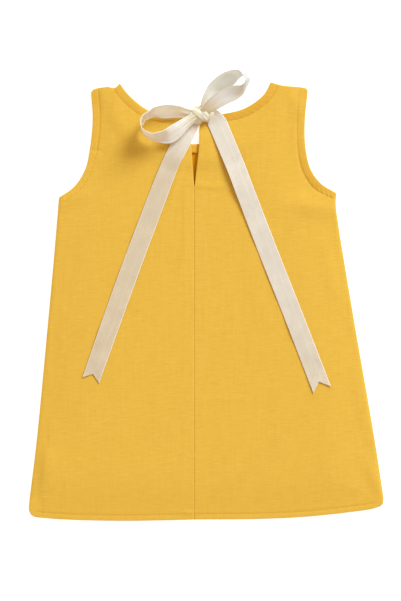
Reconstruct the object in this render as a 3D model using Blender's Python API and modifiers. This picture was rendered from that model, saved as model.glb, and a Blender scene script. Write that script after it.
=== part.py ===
"""A toddler's sleeveless A-line dress, laid flat with its back up, its neck slit tied with a ribbon bow.

The dress lies on the plane z = 0: hem toward -Y, neck toward +Y, the outside of the back facing +Z.
The origin is the middle of its footprint. Sizes are in millimetres and are scaled to metres once, at the end.
Tables give places as the dressmaker measures them: across from the centre-back seam (right is +) and
up from the lowest point of the hem.
"""

import math

import bmesh
import bpy
import numpy as np
from mathutils import Matrix, Vector
from mathutils.geometry import delaunay_2d_cdt

MM = 0.001

# The footprint: how far the dress reaches from the centre-back seam, and how far the bow stands over the hem.
LEFT_REACH = 165.6
RIGHT_REACH = 189.2
FULL_HEIGHT = 449.8
SEAM_X = (LEFT_REACH - RIGHT_REACH) / 2
HEM_Y = -FULL_HEIGHT / 2

# Cloth and ribbon.
CLOTH_WALL = 1.2
FACING_WALL = 1.0
RIBBON_WALL = 1.0
GAP = 0.3
TURNED_EDGE = 6.5        # width of the doubled edge at neck, armholes and hem
TURNED_STEP = 0.4        # how much thicker that edge is
STITCH_HALF = 0.5        # half the width of the slope from the thick edge to the single cloth
PUFF_HEIGHT = 2.2        # how far the back rises over the front between its edges
PUFF_REACH = 26.0        # how far from an edge that rise takes
FACING_WIDTH = 9.0
FACING_CLEAR = 10.0      # the back lies a layer higher within this distance of the facing's middle
FACING_FADE = 26.0       # and comes down to the front again by this distance
OUTLINE_STEP = 9.0
GRID_STEP = 15.0

# Edges of each back half, as stretches of smooth curve that meet at corners. Columns: across, up.
LEFT_EDGES = {
    "hem": [(-0.15, 1.5), (-60.0, 0.2), (-114.6, 0.9), (-150.0, 3.0), (-161.8, 5.0), (-165.3, 10.0),
            (-165.2, 21.0)],
    "side": [(-165.2, 21.0), (-157.9, 81.0), (-146.4, 201.0), (-140.9, 261.0), (-135.6, 323.7)],
    "armhole": [(-135.6, 323.7), (-120.5, 334.5), (-109.5, 351.5), (-104.6, 373.0), (-101.9, 402.0),
                (-103.6, 428.5)],
    "shoulder": [(-103.6, 428.5), (-101.7, 431.4), (-86.4, 434.2), (-80.3, 433.1), (-74.7, 437.7)],
    "neck": [(-74.7, 437.7), (-66.6, 427.0), (-46.6, 411.0), (-24.0, 406.0), (-4.0, 404.5)],
    "slit": [(-4.0, 404.5), (-3.3, 377.0), (-0.15, 334.0)],
    "seam": [(-0.15, 334.0), (-0.15, 1.5)],
}
RIGHT_EDGES = {
    "hem": [(0.15, 1.5), (60.0, 1.9), (110.0, 4.2), (155.4, 8.9), (180.0, 12.8), (188.0, 16.5), (189.2, 23.0)],
    "side": [(189.2, 23.0), (180.3, 81.0), (159.6, 201.0), (143.3, 300.0), (141.4, 315.0), (141.7, 328.0)],
    "armhole": [(141.7, 328.0), (126.5, 337.5), (116.3, 351.5), (111.2, 372.0), (110.3, 398.0), (113.3, 430.0)],
    "shoulder": [(113.3, 430.0), (111.7, 432.6), (87.2, 435.7), (76.0, 438.8)],
    "neck": [(76.0, 438.8), (69.8, 427.0), (50.7, 413.0), (27.0, 406.8), (5.4, 404.5)],
    "slit": [(5.4, 404.5), (4.7, 392.0), (4.5, 378.0), (0.15, 334.0)],
    "seam": [(0.15, 334.0), (0.15, 1.5)],
}
TURNED = ("hem", "armhole", "neck")          # edges that are turned and stitched
LYING_DOWN = ("hem", "side", "armhole", "neck")  # edges at which the back comes down to the front

# The front's neckline, lower than the back's. Columns: across, up.
FRONT_NECK = [(-77.0, 433.5), (-69.0, 423.0), (-60.0, 407.0), (-46.0, 392.0), (-26.0, 381.0), (0.0, 377.0),
              (26.0, 381.0), (46.0, 392.0), (61.0, 407.0), (70.5, 424.0), (75.0, 436.5)]

# Ribbon. Columns: across, up, height of its middle (above the surface for a loop, above the cloth for a
# tail), lean of its width (0 flat, 90 on edge, 180 turned over), width, and cup (bow of the section).
LOOP_LEFT = [
    (2.4, 405.5, 10.6, 12.0, 9.5, 1.5),
    (-9.0, 407.2, 13.0, 28.0, 10.5, 1.5),
    (-18.0, 408.0, 14.3, 44.0, 16.0, 0.8),
    (-29.3, 409.2, 15.7, 53.0, 19.6, 0.0),
    (-39.3, 408.8, 17.2, 67.0, 19.6, 0.0),
    (-46.8, 405.7, 18.3, 74.0, 19.6, 0.0),
    (-51.3, 400.9, 18.8, 79.0, 19.6, 0.0),
    (-53.0, 395.8, 19.0, 84.0, 19.6, 0.0),
    (-52.0, 391.0, 19.2, 90.0, 19.6, 0.0),
    (-48.3, 387.0, 19.3, 98.0, 19.6, 0.0),
    (-41.9, 384.6, 19.0, 109.0, 19.6, 0.0),
    (-34.0, 383.9, 18.6, 124.0, 19.6, 0.0),
    (-26.0, 385.0, 18.0, 148.0, 19.6, 0.0),
    (-18.0, 389.4, 17.0, 152.0, 17.0, -0.8),
    (-9.6, 396.4, 15.6, 158.0, 12.0, -1.5),
    (-3.0, 401.4, 14.6, 168.0, 9.5, -1.5),
    (4.0, 405.0, 14.2, 174.0, 9.5, -1.5),
]
LOOP_RIGHT = [
    (7.4, 405.0, 14.2, 170.0, 10.0, -1.5),
    (13.6, 411.6, 15.4, 156.0, 12.0, -1.5),
    (21.8, 418.0, 16.6, 140.0, 17.0, -0.8),
    (31.0, 423.4, 17.5, 133.0, 19.6, 0.0),
    (40.6, 427.4, 17.5, 129.0, 19.6, 0.0),
    (47.2, 431.2, 17.0, 119.0, 19.6, 0.0),
    (51.3, 434.4, 16.4, 106.0, 19.6, 0.0),
    (52.6, 438.4, 15.7, 98.0, 19.6, 0.0),
    (51.9, 442.6, 15.0, 97.0, 19.6, 0.0),
    (49.6, 445.8, 14.2, 93.0, 19.6, 0.0),
    (45.2, 446.6, 13.2, 76.0, 19.6, 0.0),
    (40.2, 445.0, 12.0, 59.0, 19.6, 0.0),
    (35.2, 442.0, 11.2, 47.0, 19.6, 0.0),
    (29.0, 437.0, 10.6, 38.0, 19.6, 0.0),
    (21.8, 429.6, 10.2, 37.0, 18.5, 0.8),
    (15.2, 422.2, 10.8, 32.0, 14.5, 1.2),
    (10.6, 414.0, 11.4, 18.0, 10.0, 1.2),
    (6.4, 406.5, 10.8, 10.0, 9.5, 1.2),
]
TAIL_LEFT = [
    (2.0, 404.0, 4.2, 0.0, 11.0, 1.5),
    (-4.6, 396.5, 3.6, 4.0, 14.0, 1.2),
    (-10.6, 384.0, 2.8, 6.0, 17.5, 0.6),
    (-16.1, 371.5, 2.2, 5.0, 19.0, 0.2),
    (-22.9, 360.0, 1.4, 2.0, 19.6, 0.0),
    (-38.1, 321.0, 0.9, 0.0, 19.6, 0.0),
    (-61.5, 261.0, 0.9, 0.0, 19.6, 0.0),
    (-82.9, 201.0, 0.9, 0.0, 19.6, 0.0),
    (-104.6, 140.5, 0.9, 0.0, 19.6, 0.0),
]
TAIL_RIGHT = [
    (8.4, 405.0, 4.2, 0.0, 11.0, 1.5),
    (17.0, 404.5, 4.4, 2.0, 16.0, 0.8),
    (22.5, 398.0, 4.4, 4.0, 19.6, 0.3),
    (26.4, 389.0, 4.2, 4.0, 19.6, 0.0),
    (34.0, 371.0, 3.4, 3.0, 19.6, 0.0),
    (42.3, 351.0, 2.2, 1.0, 19.6, 0.0),
    (53.7, 321.0, 1.0, 0.0, 19.6, 0.0),
    (76.8, 261.0, 0.9, 0.0, 19.6, 0.0),
    (100.5, 201.0, 0.9, 0.0, 19.6, 0.0),
    (127.5, 131.0, 0.9, 0.0, 19.6, 0.0),
]
LEFT_NOTCH = 7.0         # depth of the V cut in each tail's end
RIGHT_NOTCH = 9.0
RIBBON_STEP = 4.0
RIBBON_STRIPS = 4        # faces across a ribbon

# The knot: a flattened wad, its folds running over it on the slant.
KNOT_PLACE = (7.6, 404.2, 11.2)
KNOT_HALF = (11.2, 8.0, 7.0)
KNOT_TURN = math.radians(18)
KNOT_FULLNESS = 3.0      # 2 would be a plain ellipsoid, more is squarer
KNOT_FOLDS = 5
KNOT_FOLD_DEPTH = 0.06   # of the knot's radius
KNOT_FOLD_SLANT = math.radians(37)

# Finishes: colour, roughness.
YELLOW_CLOTH = ((0.85, 0.47, 0.06), 0.85)
INSIDE_CLOTH = ((0.72, 0.36, 0.04), 0.9)
CREAM_SATIN = ((0.80, 0.71, 0.56), 0.4)


# ---------------------------------------------------------------- curves and distances

def smooth(rows, step, sized=2):
    """Rows about a step apart on a smooth curve through the given rows; lengths use the first columns."""
    rows = np.array(rows, float)
    ends = np.vstack([2 * rows[0] - rows[1], rows, 2 * rows[-1] - rows[-2]])
    knots = np.cumsum([0.0] + [math.sqrt(np.linalg.norm((b - a)[:sized])) for a, b in zip(ends, ends[1:])])
    curve = []
    for i in range(1, len(ends) - 2):
        t0, t1, t2, t3 = knots[i - 1:i + 3]
        p0, p1, p2, p3 = ends[i - 1:i + 3]
        for t in np.linspace(t1, t2, 40, endpoint=False):
            a1 = ((t1 - t) * p0 + (t - t0) * p1) / (t1 - t0)
            a2 = ((t2 - t) * p1 + (t - t1) * p2) / (t2 - t1)
            a3 = ((t3 - t) * p2 + (t - t2) * p3) / (t3 - t2)
            b1 = ((t2 - t) * a1 + (t - t0) * a2) / (t2 - t0)
            b2 = ((t3 - t) * a2 + (t - t1) * a3) / (t3 - t1)
            curve.append(((t2 - t) * b1 + (t - t1) * b2) / (t2 - t1))
    curve = np.array(curve + [rows[-1]])
    run = np.concatenate([[0.0], np.cumsum(np.linalg.norm(np.diff(curve[:, :sized], axis=0), axis=1))])
    wanted = np.linspace(0.0, run[-1], max(2, round(run[-1] / step) + 1))
    return np.column_stack([np.interp(wanted, run, column) for column in curve.T])


def distance(points, line):
    """Distance of each point to a polyline."""
    points = np.atleast_2d(points)
    best = np.full(len(points), np.inf)
    for a, b in zip(line, line[1:]):
        along = np.clip((points - a) @ (b - a) / max((b - a) @ (b - a), 1e-9), 0.0, 1.0)
        best = np.minimum(best, np.linalg.norm(points - (a + along[:, None] * (b - a)), axis=1))
    return best


def inside(points, outline):
    """Which points lie inside a closed outline."""
    points = np.atleast_2d(points)
    result = np.zeros(len(points), bool)
    for a, b in zip(outline, np.roll(outline, -1, axis=0)):
        crosses = (a[1] > points[:, 1]) != (b[1] > points[:, 1])
        with np.errstate(divide="ignore", invalid="ignore"):
            at = a[0] + (points[:, 1] - a[1]) * (b[0] - a[0]) / (b[1] - a[1])
        result ^= crosses & (points[:, 0] < at)
    return result


def inset(line, by):
    """The polyline moved sideways, to its left for a positive distance."""
    along = np.gradient(line, axis=0)
    along /= np.linalg.norm(along, axis=1)[:, None]
    return line + by * np.column_stack([-along[:, 1], along[:, 0]])


LEFT = {name: smooth(rows, OUTLINE_STEP) for name, rows in LEFT_EDGES.items()}
RIGHT = {name: smooth(rows, OUTLINE_STEP) for name, rows in RIGHT_EDGES.items()}
FACING_MIDDLE = inset(smooth(FRONT_NECK, OUTLINE_STEP), -FACING_WIDTH / 2)


def outline_of(half):
    """One closed outline from a half's stretches, which run end to end."""
    return np.vstack([stretch[:-1] for stretch in half.values()])


# ---------------------------------------------------------------- how the back lies on the front

def back_underside(points):
    """Height of the back's inner face: on the front at the edges, puffed between, a layer up on the facing."""
    puff = np.ones(len(points))
    for name in LYING_DOWN:
        near = np.minimum(distance(points, LEFT[name]), distance(points, RIGHT[name]))
        puff *= 1.0 - np.exp(-(near / PUFF_REACH) ** 2)
    fade = np.clip((FACING_FADE - distance(points, FACING_MIDDLE)) / (FACING_FADE - FACING_CLEAR), 0.0, 1.0)
    on_facing = fade * fade * (3.0 - 2.0 * fade)
    return CLOTH_WALL + GAP + PUFF_HEIGHT * puff + (FACING_WALL + GAP) * on_facing


def back_thickness(points):
    """Thickness of the back's wall: doubled where an edge is turned in and stitched."""
    near = np.full(len(points), np.inf)
    for name in TURNED:
        near = np.minimum(near, np.minimum(distance(points, LEFT[name]), distance(points, RIGHT[name])))
    single = np.clip((near - TURNED_EDGE) / STITCH_HALF, -1.0, 1.0)
    return CLOTH_WALL + TURNED_STEP * (1.0 - single) / 2.0


def back_top(points):
    return back_underside(points) + back_thickness(points)


# ---------------------------------------------------------------- making solids

def finish(name, mesh, material):
    """An object in millimetres at the seam and hem becomes one in metres about the origin."""
    mesh.transform(Matrix.Diagonal((MM, MM, MM, 1.0)) @ Matrix.Translation((SEAM_X, HEM_Y, 0.0)))
    mesh.materials.append(material)
    part = bpy.data.objects.new(name, mesh)
    dress.objects.link(part)
    return part


def finish_material(name, finish_values):
    colour, roughness = finish_values
    material = bpy.data.materials.new(name)
    material.use_nodes = True
    shader = material.node_tree.nodes["Principled BSDF"]
    shader.inputs["Base Color"].default_value = (*colour, 1.0)
    shader.inputs["Roughness"].default_value = roughness
    shader.inputs["Metallic"].default_value = 0.0
    return material


def back_half(name, half, material):
    """A half back: a sheet cut to its outline, with rows of points along the stitch lines, made a wall."""
    outline = outline_of(half)
    turn = 1.0 if half is LEFT else -1.0
    lines = [np.vstack([outline, outline[:1]])]
    for edge in TURNED:
        for by in (TURNED_EDGE - STITCH_HALF, TURNED_EDGE + STITCH_HALF):
            line = inset(half[edge], -turn * by)
            clear = distance(line, lines[0]) > by - 0.2
            lines.append(line[inside(line, outline) & clear])
    low, high = outline.min(0), outline.max(0)
    grid = np.array([(x + (row % 2) * GRID_STEP / 2, y)
                     for row, y in enumerate(np.arange(low[1], high[1], GRID_STEP * math.sqrt(0.75)))
                     for x in np.arange(low[0], high[0], GRID_STEP)])
    grid = grid[inside(grid, outline)]
    for line in lines:
        grid = grid[distance(grid, line) > 0.45 * GRID_STEP]
    points, edges = [], []
    for line in lines:
        first = len(points)
        points += list(line)
        edges += [(first + i, first + i + 1) for i in range(len(line) - 1)]
    points += list(grid)
    flat, _, faces, *_ = delaunay_2d_cdt([Vector(p) for p in points], edges, [], 1, 0.05)
    flat = np.array([tuple(p) for p in flat])
    under = back_underside(flat)
    over = under + back_thickness(flat)

    sheet = bmesh.new()
    corners = [sheet.verts.new((x, y, z)) for (x, y), z in zip(flat, under)]
    for face in faces:
        sheet.faces.new([corners[i] for i in face])
    raised = bmesh.ops.extrude_face_region(sheet, geom=sheet.faces[:])
    height = {(round(x, 4), round(y, 4)): z for (x, y), z in zip(flat, over)}
    for corner in (g for g in raised["geom"] if isinstance(g, bmesh.types.BMVert)):
        corner.co.z = height[(round(corner.co.x, 4), round(corner.co.y, 4))]
    bmesh.ops.recalc_face_normals(sheet, faces=sheet.faces[:])
    mesh = bpy.data.meshes.new(name)
    sheet.to_mesh(mesh)
    sheet.free()
    return finish(name, mesh, material)


def flat_piece(name, outline, low, wall, material):
    """A flat cloth piece: a filled outline with thickness."""
    curve = bpy.data.curves.new(name, "CURVE")
    curve.dimensions = "2D"
    curve.fill_mode = "BOTH"
    curve.extrude = wall / 2 * MM
    spline = curve.splines.new("POLY")
    spline.points.add(len(outline) - 1)
    for point, (across, up) in zip(spline.points, outline):
        point.co = ((SEAM_X + across) * MM, (HEM_Y + up) * MM, 0.0, 1.0)
    spline.use_cyclic_u = True
    curve.materials.append(material)
    piece = bpy.data.objects.new(name, curve)
    piece.location.z = (low + wall / 2) * MM
    dress.objects.link(piece)
    return piece


def ribbon(name, stations, on_cloth, notch, material):
    """A ribbon swept along its stations: an open surface, given its thickness by a modifier."""
    rows = smooth(stations, RIBBON_STEP, sized=3)
    if on_cloth:
        rows[:, 2] += back_top(rows[:, :2])
    middle = rows[:, :3]
    along = np.gradient(middle, axis=0)
    along /= np.linalg.norm(along, axis=1)[:, None]
    side = np.column_stack([along[:, 1], -along[:, 0], np.zeros(len(rows))])
    side /= np.linalg.norm(side, axis=1)[:, None]
    up = np.cross(side, along)
    lean = np.radians(rows[:, 3])[:, None]
    width_way = np.cos(lean) * side + np.sin(lean) * up
    face_way = -np.sin(lean) * side + np.cos(lean) * up
    surface = bmesh.new()
    grid = []
    for i, row in enumerate(rows):
        line = []
        for s in np.linspace(-1.0, 1.0, RIBBON_STRIPS + 1):
            place = middle[i] + width_way[i] * s * row[4] / 2 + face_way[i] * row[5] * (1.0 - s * s)
            from_end = len(rows) - 1 - i
            if notch and from_end < 3:
                place = place - along[i] * notch * (1.0 - abs(s)) * (1.0 - from_end / 3)
            line.append(surface.verts.new(place))
        grid.append(line)
    for a, b in zip(grid, grid[1:]):
        for i in range(RIBBON_STRIPS):
            surface.faces.new((a[i], a[i + 1], b[i + 1], b[i]))
    mesh = bpy.data.meshes.new(name)
    surface.to_mesh(mesh)
    surface.free()
    piece = finish(name, mesh, material)
    thicken = piece.modifiers.new("thickness", "SOLIDIFY")
    thicken.thickness = RIBBON_WALL * MM
    thicken.offset = 0.0
    thicken.use_even_offset = True
    return piece


def knot_mesh(name, grow):
    """The knot as a flattened ball with slanting folds, larger by the given distance all round."""
    ball = bmesh.new()
    bmesh.ops.create_uvsphere(ball, u_segments=28, v_segments=16, radius=1.0)
    for corner in ball.verts:
        full = sum(abs(value) ** KNOT_FULLNESS for value in corner.co) ** (1 / KNOT_FULLNESS)
        x, y, z = corner.co / full
        across = x * math.cos(KNOT_FOLD_SLANT) + y * math.sin(KNOT_FOLD_SLANT)
        fold = 1.0 + KNOT_FOLD_DEPTH * math.cos(across * math.pi * KNOT_FOLDS / 2) * max(0.0, 1.0 - across ** 4)
        size = [half * fold + grow for half in KNOT_HALF]
        corner.co = Vector((x * size[0], y * size[1], z * size[2]))
    mesh = bpy.data.meshes.new(name)
    ball.to_mesh(mesh)
    ball.free()
    mesh.transform(Matrix.Translation(KNOT_PLACE) @ Matrix.Rotation(KNOT_TURN, 4, "Z"))
    return mesh


def fit_to_knot(piece, cutter):
    """The ribbon stops at the knot, a gap away from it."""
    cut = piece.modifiers.new("knot", "BOOLEAN")
    cut.operation = "DIFFERENCE"
    cut.object = cutter


# ---------------------------------------------------------------- the dress

for old in list(bpy.data.objects):
    bpy.data.objects.remove(old)
dress = bpy.data.collections.new("sleeveless_dress")
cutters = bpy.data.collections.new("cutters")
bpy.context.scene.collection.children.link(dress)
bpy.context.scene.collection.children.link(cutters)

outside_cloth = finish_material("yellow_cloth", YELLOW_CLOTH)
facing_cloth = finish_material("facing_cloth", INSIDE_CLOTH)
satin = finish_material("cream_satin", CREAM_SATIN)

left_outer = np.vstack([LEFT[name][:-1] for name in ("hem", "side", "armhole", "shoulder")])
right_outer = np.vstack([RIGHT[name][:-1] for name in ("hem", "side", "armhole", "shoulder")])
front_neck = smooth(FRONT_NECK, OUTLINE_STEP)
front_outline = np.vstack([left_outer[:-1], front_neck, right_outer[:0:-1]])
flat_piece("front", front_outline, 0.0, CLOTH_WALL, outside_cloth)
facing_outline = np.vstack([front_neck[1:-1], inset(front_neck, -FACING_WIDTH)[-2:0:-1]])
flat_piece("front_neck_facing", facing_outline, CLOTH_WALL + GAP, FACING_WALL, facing_cloth)
back_half("back_left", LEFT, outside_cloth)
back_half("back_right", RIGHT, outside_cloth)

knot = finish("bow_knot", knot_mesh("bow_knot", 0.0), satin)
cutter = finish("knot_cutter", knot_mesh("knot_cutter", GAP), satin)
dress.objects.unlink(cutter)
cutters.objects.link(cutter)
cutter.hide_render = True
cutter.display_type = "WIRE"
for name, stations, on_cloth, notch in (
    ("bow_loop_left", LOOP_LEFT, False, 0.0),
    ("bow_loop_right", LOOP_RIGHT, False, 0.0),
    ("bow_tail_left", TAIL_LEFT, True, LEFT_NOTCH),
    ("bow_tail_right", TAIL_RIGHT, True, RIGHT_NOTCH),
):
    fit_to_knot(ribbon(name, stations, on_cloth, notch, satin), cutter)
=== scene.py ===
"""Looks for a toddler's sleeveless A-line dress, laid flat, back up, its neck slit tied with a ribbon bow.

Sizes are in millimetres, placed as a dressmaker measures them: across from the centre-back seam (right
is +), up from the lowest point of the hem, and high above the surface. They become metres in the frame
when a mesh is made.
"""

import math

import bpy
import numpy as np
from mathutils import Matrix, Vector
from mathutils.geometry import delaunay_2d_cdt
from mathutils.kdtree import KDTree


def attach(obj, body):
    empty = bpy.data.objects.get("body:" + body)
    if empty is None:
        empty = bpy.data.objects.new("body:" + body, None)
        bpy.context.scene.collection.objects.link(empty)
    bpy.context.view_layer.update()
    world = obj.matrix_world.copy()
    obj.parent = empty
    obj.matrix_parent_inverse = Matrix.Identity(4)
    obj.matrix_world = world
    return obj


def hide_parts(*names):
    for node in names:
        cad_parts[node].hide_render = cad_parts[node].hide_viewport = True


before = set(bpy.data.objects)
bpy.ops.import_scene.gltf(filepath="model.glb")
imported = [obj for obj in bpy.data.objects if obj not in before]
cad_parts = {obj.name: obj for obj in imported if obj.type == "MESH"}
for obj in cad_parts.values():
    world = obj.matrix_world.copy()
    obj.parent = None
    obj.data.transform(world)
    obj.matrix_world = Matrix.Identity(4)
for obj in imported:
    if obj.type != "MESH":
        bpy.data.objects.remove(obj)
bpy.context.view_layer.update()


# ------------------------------------------------------------------ front
# The front is one piece of slubbed cotton, cut on the fold. It lies face down on the surface, under the
# back, sewn to it at the shoulders and sides. Its neck is lower than the back's and shows in the slit.

SEAM_X, HEM_Y = -11.8, -224.9   # where the centre-back seam and the hem lie in the frame
CLOTH = 0.6                     # one thickness of the cloth
FRONT_WALL = 1.2                # the front where its edges are turned or sewn
TURNED_EDGE = 6.5               # width of the turned edge where the front shows its thickness
TURNED_FADE = 1.2               # how softly the turned edge ends
EDGE_ROLL = 0.55                # radius of a folded edge
EDGE_ROWS = (0.45, 1.1)         # rows of points just inside an edge, as shares of that radius
OUTLINE_STEP = 1.5              # points along an outline
CURVE_STEP = 4.0                # points along a line that only distances are taken from
CURVE_CUTS = 40                 # how finely a curve is followed between two rows of a table
FRONT_GRID = 3.2
CLEAR_OF_EDGE = 0.4             # how far other points keep from the outline, as a share of the edge's radius
CLEAR_OF_ROWS = 0.62            # how far the grid keeps from rows of points, as a share of the grid
SAME_PLACE = 0.02               # points nearer than this are one

# Columns: across, up. The stretches of each half run end to end round it.
LEFT_EDGES = {
    "hem": [(-0.30, 1.5), (-60.0, 0.2), (-114.6, 0.9), (-150.0, 3.0), (-161.8, 5.0), (-165.3, 10.0),
            (-165.2, 21.0)],
    "side": [(-165.2, 21.0), (-157.9, 81.0), (-146.4, 201.0), (-140.9, 261.0), (-135.6, 323.7)],
    "armhole": [(-135.6, 323.7), (-120.5, 334.5), (-109.5, 351.5), (-104.6, 373.0), (-101.9, 402.0),
                (-103.6, 428.5)],
    "shoulder": [(-103.6, 428.5), (-101.7, 431.4), (-86.4, 434.2), (-80.3, 433.1), (-74.7, 437.7)],
    "neck": [(-74.7, 437.7), (-66.6, 427.0), (-46.6, 411.0), (-24.0, 406.0), (-4.0, 404.5)],
    "slit": [(-4.0, 404.5), (-3.3, 377.0), (-0.30, 334.0)],
    "seam": [(-0.30, 334.0), (-0.30, 1.5)],
}
RIGHT_EDGES = {
    "hem": [(-0.22, 1.5), (60.0, 1.9), (110.0, 4.2), (155.4, 8.9), (180.0, 12.8), (188.0, 16.5),
            (189.2, 23.0)],
    "side": [(189.2, 23.0), (180.3, 81.0), (159.6, 201.0), (143.3, 300.0), (141.4, 315.0), (141.7, 328.0)],
    "armhole": [(141.7, 328.0), (126.5, 337.5), (116.3, 351.5), (111.2, 372.0), (110.3, 398.0),
                (113.3, 430.0)],
    "shoulder": [(113.3, 430.0), (111.7, 432.6), (87.2, 435.7), (76.0, 438.8)],
    "neck": [(76.0, 438.8), (69.8, 427.0), (50.7, 413.0), (27.0, 406.8), (5.4, 404.5)],
    "slit": [(5.4, 404.5), (4.7, 392.0), (4.5, 378.0), (-0.22, 334.0)],
    "seam": [(-0.22, 334.0), (-0.22, 1.5)],
}
FRONT_NECK = [(-77.0, 433.5), (-69.0, 423.0), (-60.0, 407.0), (-46.0, 392.0), (-26.0, 381.0), (0.0, 377.0),
              (26.0, 381.0), (46.0, 392.0), (61.0, 407.0), (70.5, 424.0), (75.0, 436.5)]


def smooth(rows, step, sized=2):
    """Rows about a step apart on a smooth curve through the given rows; lengths use the first columns."""
    rows = np.array(rows, float)
    ends = np.vstack([2 * rows[0] - rows[1], rows, 2 * rows[-1] - rows[-2]])
    knots = np.cumsum([0.0] + [math.sqrt(np.linalg.norm((b - a)[:sized])) for a, b in zip(ends, ends[1:])])
    curve = []
    for i in range(1, len(ends) - 2):
        t0, t1, t2, t3 = knots[i - 1:i + 3]
        p0, p1, p2, p3 = ends[i - 1:i + 3]
        for t in np.linspace(t1, t2, CURVE_CUTS, endpoint=False):
            a1 = ((t1 - t) * p0 + (t - t0) * p1) / (t1 - t0)
            a2 = ((t2 - t) * p1 + (t - t1) * p2) / (t2 - t1)
            a3 = ((t3 - t) * p2 + (t - t2) * p3) / (t3 - t2)
            b1 = ((t2 - t) * a1 + (t - t0) * a2) / (t2 - t0)
            b2 = ((t3 - t) * a2 + (t - t1) * a3) / (t3 - t1)
            curve.append(((t2 - t) * b1 + (t - t1) * b2) / (t2 - t1))
    curve = np.array(curve + [rows[-1]])
    run = np.concatenate([[0.0], np.cumsum(np.linalg.norm(np.diff(curve[:, :sized], axis=0), axis=1))])
    wanted = np.linspace(0.0, run[-1], max(2, round(run[-1] / step) + 1))
    return np.column_stack([np.interp(wanted, run, column) for column in curve.T])


def nearest(points, line):
    """Distance of each point to a polyline, and how far along the polyline its nearest place is."""
    best = np.full(len(points), np.inf)
    along = np.zeros(len(points))
    gone = 0.0
    for a, b in zip(line, line[1:]):
        length = np.linalg.norm(b - a)
        share = np.clip((points - a) @ (b - a) / max(length ** 2, 1e-9), 0.0, 1.0)
        away = np.linalg.norm(points - (a + share[:, None] * (b - a)), axis=1)
        along = np.where(away < best, gone + share * length, along)
        best = np.minimum(best, away)
        gone += length
    return best, along


def inset(line, by):
    """The polyline moved sideways, to its left for a positive distance."""
    way = np.gradient(line, axis=0)
    way /= np.linalg.norm(way, axis=1)[:, None]
    return line + np.reshape(by, (-1, 1)) * np.column_stack([-way[:, 1], way[:, 0]])


def inside(points, outline):
    """Which points lie inside a closed outline."""
    result = np.zeros(len(points), bool)
    for a, b in zip(outline, np.roll(outline, -1, axis=0)):
        crosses = (a[1] > points[:, 1]) != (b[1] > points[:, 1])
        with np.errstate(divide="ignore", invalid="ignore"):
            at = a[0] + (points[:, 1] - a[1]) * (b[0] - a[0]) / (b[1] - a[1])
        result ^= crosses & (points[:, 0] < at)
    return result


def cut_cloth(outline, rows, grid):
    """Flat points and triangles that fill an outline. They follow the rows given, and two inside its edge."""
    line = np.vstack([outline, outline[:1]])
    turn = 1.0 if np.cross(outline, np.roll(outline, -1, axis=0)).sum() > 0 else -1.0
    rows = rows + [inset(line, turn * share * EDGE_ROLL) for share in EDGE_ROWS]
    kept = []
    for row in rows:
        row = row[inside(row, outline)]
        kept.append(row[nearest(row, line)[0] > CLEAR_OF_EDGE * EDGE_ROLL])
    kept = np.vstack([outline] + kept)
    low, high = outline.min(0), outline.max(0)
    net = np.array([(x + (row % 2) * grid / 2, y)
                    for row, y in enumerate(np.arange(low[1], high[1], grid * math.sqrt(0.75)))
                    for x in np.arange(low[0], high[0], grid)])
    net = net[inside(net, outline)]
    near = KDTree(len(kept))
    for i, (x, y) in enumerate(kept):
        near.insert((x, y, 0.0), i)
    near.balance()
    net = net[[near.find((x, y, 0.0))[2] > CLEAR_OF_ROWS * grid for x, y in net]]
    points = np.vstack([kept, net])
    ring = [(i, (i + 1) % len(outline)) for i in range(len(outline))]
    flat, _, faces, *_ = delaunay_2d_cdt([Vector(p) for p in points], ring, [], 1, SAME_PLACE)
    return np.array([tuple(p) for p in flat]), [tuple(f) for f in faces]


def roll(away, radius):
    """How far a folded edge curves down at each distance from it."""
    return radius - np.sqrt(np.maximum(radius ** 2 - np.maximum(radius - away, 0.0) ** 2, 0.0))


def make_mesh(name, points, faces, values):
    """A smooth mesh in the frame from points in millimetres, with named numbers kept on its points."""
    placed = (np.array(points) + (SEAM_X, HEM_Y, 0.0)) * 0.001
    mesh = bpy.data.meshes.new(name)
    mesh.from_pydata(placed.tolist(), [], faces)
    mesh.shade_smooth()
    for kind, numbers in values.items():
        mesh.attributes.new(kind, "FLOAT", "POINT").data.foreach_set("value", np.array(numbers, np.float32))
    piece = bpy.data.objects.new(name, mesh)
    bpy.context.scene.collection.objects.link(piece)
    return piece


def shell(name, flat, faces, top, under, values):
    """A closed cloth shell: its upper and lower skins, joined round the edge."""
    count = len(flat)
    points = np.vstack([np.column_stack([flat, top]), np.column_stack([flat, under])])
    edges = dict.fromkeys((a, b) for face in faces for a, b in zip(face, face[1:] + face[:1]))
    rim = [(b, a, a + count, b + count) for a, b in edges if (b, a) not in edges]
    below = [tuple(i + count for i in reversed(face)) for face in faces]
    both = {kind: np.concatenate([numbers, numbers]) for kind, numbers in values.items()}
    return make_mesh(name, points, faces + below + rim, both)


def round_outline(half, stretches):
    """Stretches of a half's edge, run together into one outline."""
    return np.vstack([smooth(half[name], OUTLINE_STEP)[:-1] for name in stretches])


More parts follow.
